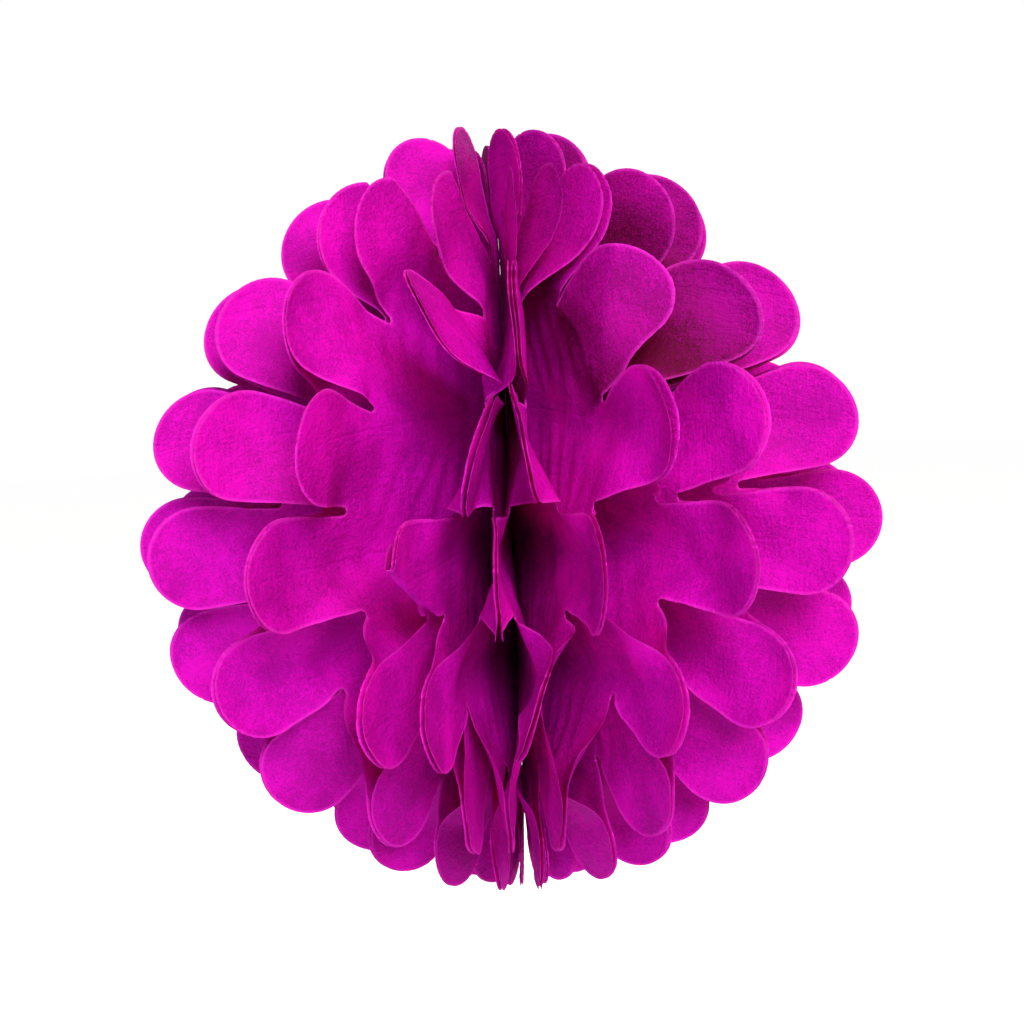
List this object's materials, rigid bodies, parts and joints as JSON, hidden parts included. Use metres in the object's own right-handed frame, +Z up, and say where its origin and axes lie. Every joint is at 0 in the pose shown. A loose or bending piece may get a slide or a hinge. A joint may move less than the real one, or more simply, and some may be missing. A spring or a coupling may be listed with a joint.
{
  "type": "paper honeycomb ball",
  "caption": "Hanging honeycomb ball of petal-cut tissue leaves glued in alternate lines round an upright spine, which folds flat like a fan between two card covers.",
  "frame": {"origin": "centre of the open ball, on the spine's axis, at the height of the middle row of petals", "axes": "+Z up the spine towards the hanging eye, -Y out of the front, +X to the right seen from the front"},
  "size_m": [0.2434, 0.2456, 0.2564],
  "materials": {
    "tissue": "thin translucent tissue, matt",
    "card": "matt card",
    "adhesive": "double-sided tape",
    "thread": "cotton thread set in glue",
    "eye": "dark plastic"
  },
  "bodies": {
    "core": {"spine": "thread", "knot_top": "thread", "knot_bottom": "thread", "hanging_eye": "eye", "cover_fixed": "card", "pad_low": "adhesive", "pad_middle": "adhesive", "pad_high": "adhesive"},
    "cover": {"cover_turning": "card"},
    "leaf_01": {"leaf_01": "tissue"},
    "leaf_02": {"leaf_02": "tissue"},
    "leaf_03": {"leaf_03": "tissue"},
    "leaf_04": {"leaf_04": "tissue"},
    "leaf_05": {"leaf_05": "tissue"},
    "leaf_06": {"leaf_06": "tissue"},
    "leaf_07": {"leaf_07": "tissue"},
    "leaf_08": {"leaf_08": "tissue"},
    "leaf_09": {"leaf_09": "tissue"},
    "leaf_10": {"leaf_10": "tissue"},
    "leaf_11": {"leaf_11": "tissue"},
    "leaf_12": {"leaf_12": "tissue"},
    "leaf_13": {"leaf_13": "tissue"},
    "leaf_14": {"leaf_14": "tissue"},
    "leaf_15": {"leaf_15": "tissue"},
    "leaf_16": {"leaf_16": "tissue"},
    "leaf_17": {"leaf_17": "tissue"},
    "leaf_18": {"leaf_18": "tissue"},
    "leaf_19": {"leaf_19": "tissue"},
    "leaf_20": {"leaf_20": "tissue"},
    "leaf_21": {"leaf_21": "tissue"},
    "leaf_22": {"leaf_22": "tissue"},
    "leaf_23": {"leaf_23": "tissue"},
    "leaf_24": {"leaf_24": "tissue"},
    "leaf_25": {"leaf_25": "tissue"},
    "leaf_26": {"leaf_26": "tissue"},
    "leaf_27": {"leaf_27": "tissue"},
    "leaf_28": {"leaf_28": "tissue"},
    "leaf_29": {"leaf_29": "tissue"},
    "leaf_30": {"leaf_30": "tissue"},
    "leaf_31": {"leaf_31": "tissue"},
    "leaf_32": {"leaf_32": "tissue"},
    "leaf_33": {"leaf_33": "tissue"},
    "leaf_34": {"leaf_34": "tissue"},
    "leaf_35": {"leaf_35": "tissue"},
    "leaf_36": {"leaf_36": "tissue"}
  },
  "joints": [
    {"name": "fan_fold", "type": "hinge", "parent": "core", "child": "cover", "pos_m": [0, 0, 0], "axis": [0, 0, -1], "range_deg": [0, 348]},
    {"name": "fold_01", "type": "hinge", "parent": "core", "child": "leaf_01", "pos_m": [0, 0, 0], "axis": [0, 0, -1], "range_deg": [0, 5.18], "deforming": ["leaf_01"]},
    {"name": "fold_02", "type": "hinge", "parent": "core", "child": "leaf_02", "pos_m": [0, 0, 0], "axis": [0, 0, -1], "range_deg": [0, 14.98], "deforming": ["leaf_02"]},
    {"name": "fold_03", "type": "hinge", "parent": "core", "child": "leaf_03", "pos_m": [0, 0, 0], "axis": [0, 0, -1], "range_deg": [0, 24.9], "deforming": ["leaf_03"]},
    {"name": "fold_04", "type": "hinge", "parent": "core", "child": "leaf_04", "pos_m": [0, 0, 0], "axis": [0, 0, -1], "range_deg": [0, 34.83], "deforming": ["leaf_04"]},
    {"name": "fold_05", "type": "hinge", "parent": "core", "child": "leaf_05", "pos_m": [0, 0, 0], "axis": [0, 0, -1], "range_deg": [0, 44.75], "deforming": ["leaf_05"]},
    {"name": "fold_06", "type": "hinge", "parent": "core", "child": "leaf_06", "pos_m": [0, 0, 0], "axis": [0, 0, -1], "range_deg": [0, 54.68], "deforming": ["leaf_06"]},
    {"name": "fold_07", "type": "hinge", "parent": "core", "child": "leaf_07", "pos_m": [0, 0, 0], "axis": [0, 0, -1], "range_deg": [0, 64.61], "deforming": ["leaf_07"]},
    {"name": "fold_08", "type": "hinge", "parent": "core", "child": "leaf_08", "pos_m": [0, 0, 0], "axis": [0, 0, -1], "range_deg": [0, 74.53], "deforming": ["leaf_08"]},
    {"name": "fold_09", "type": "hinge", "parent": "core", "child": "leaf_09", "pos_m": [0, 0, 0], "axis": [0, 0, -1], "range_deg": [0, 84.45], "deforming": ["leaf_09"]},
    {"name": "fold_10", "type": "hinge", "parent": "core", "child": "leaf_10", "pos_m": [0, 0, 0], "axis": [0, 0, -1], "range_deg": [0, 93.26], "deforming": ["leaf_10"]},
    {"name": "fold_11", "type": "hinge", "parent": "core", "child": "leaf_11", "pos_m": [0, 0, 0], "axis": [0, 0, -1], "range_deg": [0, 100.93], "deforming": ["leaf_11"]},
    {"name": "fold_12", "type": "hinge", "parent": "core", "child": "leaf_12", "pos_m": [0, 0, 0], "axis": [0, 0, -1], "range_deg": [0, 110.86], "deforming": ["leaf_12"]},
    {"name": "fold_13", "type": "hinge", "parent": "core", "child": "leaf_13", "pos_m": [0, 0, 0], "axis": [0, 0, -1], "range_deg": [0, 123.03], "deforming": ["leaf_13"]},
    {"name": "fold_14", "type": "hinge", "parent": "core", "child": "leaf_14", "pos_m": [0, 0, 0], "axis": [0, 0, -1], "range_deg": [0, 134.58], "deforming": ["leaf_14"]},
    {"name": "fold_15", "type": "hinge", "parent": "core", "child": "leaf_15", "pos_m": [0, 0, 0], "axis": [0, 0, -1], "range_deg": [0, 145.51], "deforming": ["leaf_15"]},
    {"name": "fold_16", "type": "hinge", "parent": "core", "child": "leaf_16", "pos_m": [0, 0, 0], "axis": [0, 0, -1], "range_deg": [0, 153.69], "deforming": ["leaf_16"]},
    {"name": "fold_17", "type": "hinge", "parent": "core", "child": "leaf_17", "pos_m": [0, 0, 0], "axis": [0, 0, -1], "range_deg": [0, 159.11], "deforming": ["leaf_17"]},
    {"name": "fold_18", "type": "hinge", "parent": "core", "child": "leaf_18", "pos_m": [0, 0, 0], "axis": [0, 0, -1], "range_deg": [0, 165.54], "deforming": ["leaf_18"]},
    {"name": "fold_19", "type": "hinge", "parent": "core", "child": "leaf_19", "pos_m": [0, 0, 0], "axis": [0, 0, -1], "range_deg": [0, 172.96], "deforming": ["leaf_19"]},
    {"name": "fold_20", "type": "hinge", "parent": "core", "child": "leaf_20", "pos_m": [0, 0, 0], "axis": [0, 0, -1], "range_deg": [0, 181.89], "deforming": ["leaf_20"]},
    {"name": "fold_21", "type": "hinge", "parent": "core", "child": "leaf_21", "pos_m": [0, 0, 0], "axis": [0, 0, -1], "range_deg": [0, 192.31], "deforming": ["leaf_21"]},
    {"name": "fold_22", "type": "hinge", "parent": "core", "child": "leaf_22", "pos_m": [0, 0, 0], "axis": [0, 0, -1], "range_deg": [0, 201.86], "deforming": ["leaf_22"]},
    {"name": "fold_23", "type": "hinge", "parent": "core", "child": "leaf_23", "pos_m": [0, 0, 0], "axis": [0, 0, -1], "range_deg": [0, 210.54], "deforming": ["leaf_23"]},
    {"name": "fold_24", "type": "hinge", "parent": "core", "child": "leaf_24", "pos_m": [0, 0, 0], "axis": [0, 0, -1], "range_deg": [0, 221.22], "deforming": ["leaf_24"]},
    {"name": "fold_25", "type": "hinge", "parent": "core", "child": "leaf_25", "pos_m": [0, 0, 0], "axis": [0, 0, -1], "range_deg": [0, 233.89], "deforming": ["leaf_25"]},
    {"name": "fold_26", "type": "hinge", "parent": "core", "child": "leaf_26", "pos_m": [0, 0, 0], "axis": [0, 0, -1], "range_deg": [0, 245.19], "deforming": ["leaf_26"]},
    {"name": "fold_27", "type": "hinge", "parent": "core", "child": "leaf_27", "pos_m": [0, 0, 0], "axis": [0, 0, -1], "range_deg": [0, 255.12], "deforming": ["leaf_27"]},
    {"name": "fold_28", "type": "hinge", "parent": "core", "child": "leaf_28", "pos_m": [0, 0, 0], "axis": [0, 0, -1], "range_deg": [0, 265.04], "deforming": ["leaf_28"]},
    {"name": "fold_29", "type": "hinge", "parent": "core", "child": "leaf_29", "pos_m": [0, 0, 0], "axis": [0, 0, -1], "range_deg": [0, 274.97], "deforming": ["leaf_29"]},
    {"name": "fold_30", "type": "hinge", "parent": "core", "child": "leaf_30", "pos_m": [0, 0, 0], "axis": [0, 0, -1], "range_deg": [0, 284.77], "deforming": ["leaf_30"]},
    {"name": "fold_31", "type": "hinge", "parent": "core", "child": "leaf_31", "pos_m": [0, 0, 0], "axis": [0, 0, -1], "range_deg": [0, 294.45], "deforming": ["leaf_31"]},
    {"name": "fold_32", "type": "hinge", "parent": "core", "child": "leaf_32", "pos_m": [0, 0, 0], "axis": [0, 0, -1], "range_deg": [0, 304.25], "deforming": ["leaf_32"]},
    {"name": "fold_33", "type": "hinge", "parent": "core", "child": "leaf_33", "pos_m": [0, 0, 0], "axis": [0, 0, -1], "range_deg": [0, 314.17], "deforming": ["leaf_33"]},
    {"name": "fold_34", "type": "hinge", "parent": "core", "child": "leaf_34", "pos_m": [0, 0, 0], "axis": [0, 0, -1], "range_deg": [0, 324.1], "deforming": ["leaf_34"]},
    {"name": "fold_35", "type": "hinge", "parent": "core", "child": "leaf_35", "pos_m": [0, 0, 0], "axis": [0, 0, -1], "range_deg": [0, 334.02], "deforming": ["leaf_35"]},
    {"name": "fold_36", "type": "hinge", "parent": "core", "child": "leaf_36", "pos_m": [0, 0, 0], "axis": [0, 0, -1], "range_deg": [0, 343.82], "deforming": ["leaf_36"]}
  ],
  "couplings": [
    {"joint": "fold_01", "follows": "fan_fold", "ratio": 0.01344},
    {"joint": "fold_02", "follows": "fan_fold", "ratio": 0.0416},
    {"joint": "fold_03", "follows": "fan_fold", "ratio": 0.07012},
    {"joint": "fold_04", "follows": "fan_fold", "ratio": 0.09864},
    {"joint": "fold_05", "follows": "fan_fold", "ratio": 0.12716},
    {"joint": "fold_06", "follows": "fan_fold", "ratio": 0.15569},
    {"joint": "fold_07", "follows": "fan_fold", "ratio": 0.18421},
    {"joint": "fold_08", "follows": "fan_fold", "ratio": 0.21273},
    {"joint": "fold_09", "follows": "fan_fold", "ratio": 0.24125},
    {"joint": "fold_10", "follows": "fan_fold", "ratio": 0.26654},
    {"joint": "fold_11", "follows": "fan_fold", "ratio": 0.2886},
    {"joint": "fold_12", "follows": "fan_fold", "ratio": 0.31712},
    {"joint": "fold_13", "follows": "fan_fold", "ratio": 0.35211},
    {"joint": "fold_14", "follows": "fan_fold", "ratio": 0.3853},
    {"joint": "fold_15", "follows": "fan_fold", "ratio": 0.4167},
    {"joint": "fold_16", "follows": "fan_fold", "ratio": 0.44019},
    {"joint": "fold_17", "follows": "fan_fold", "ratio": 0.45578},
    {"joint": "fold_18", "follows": "fan_fold", "ratio": 0.47424},
    {"joint": "fold_19", "follows": "fan_fold", "ratio": 0.49558},
    {"joint": "fold_20", "follows": "fan_fold", "ratio": 0.52123},
    {"joint": "fold_21", "follows": "fan_fold", "ratio": 0.55119},
    {"joint": "fold_22", "follows": "fan_fold", "ratio": 0.57863},
    {"joint": "fold_23", "follows": "fan_fold", "ratio": 0.60356},
    {"joint": "fold_24", "follows": "fan_fold", "ratio": 0.63424},
    {"joint": "fold_25", "follows": "fan_fold", "ratio": 0.67067},
    {"joint": "fold_26", "follows": "fan_fold", "ratio": 0.70314},
    {"joint": "fold_27", "follows": "fan_fold", "ratio": 0.73166},
    {"joint": "fold_28", "follows": "fan_fold", "ratio": 0.76018},
    {"joint": "fold_29", "follows": "fan_fold", "ratio": 0.78871},
    {"joint": "fold_30", "follows": "fan_fold", "ratio": 0.81687},
    {"joint": "fold_31", "follows": "fan_fold", "ratio": 0.84467},
    {"joint": "fold_32", "follows": "fan_fold", "ratio": 0.87284},
    {"joint": "fold_33", "follows": "fan_fold", "ratio": 0.90136},
    {"joint": "fold_34", "follows": "fan_fold", "ratio": 0.92988},
    {"joint": "fold_35", "follows": "fan_fold", "ratio": 0.9584},
    {"joint": "fold_36", "follows": "fan_fold", "ratio": 0.98656}
  ]
}
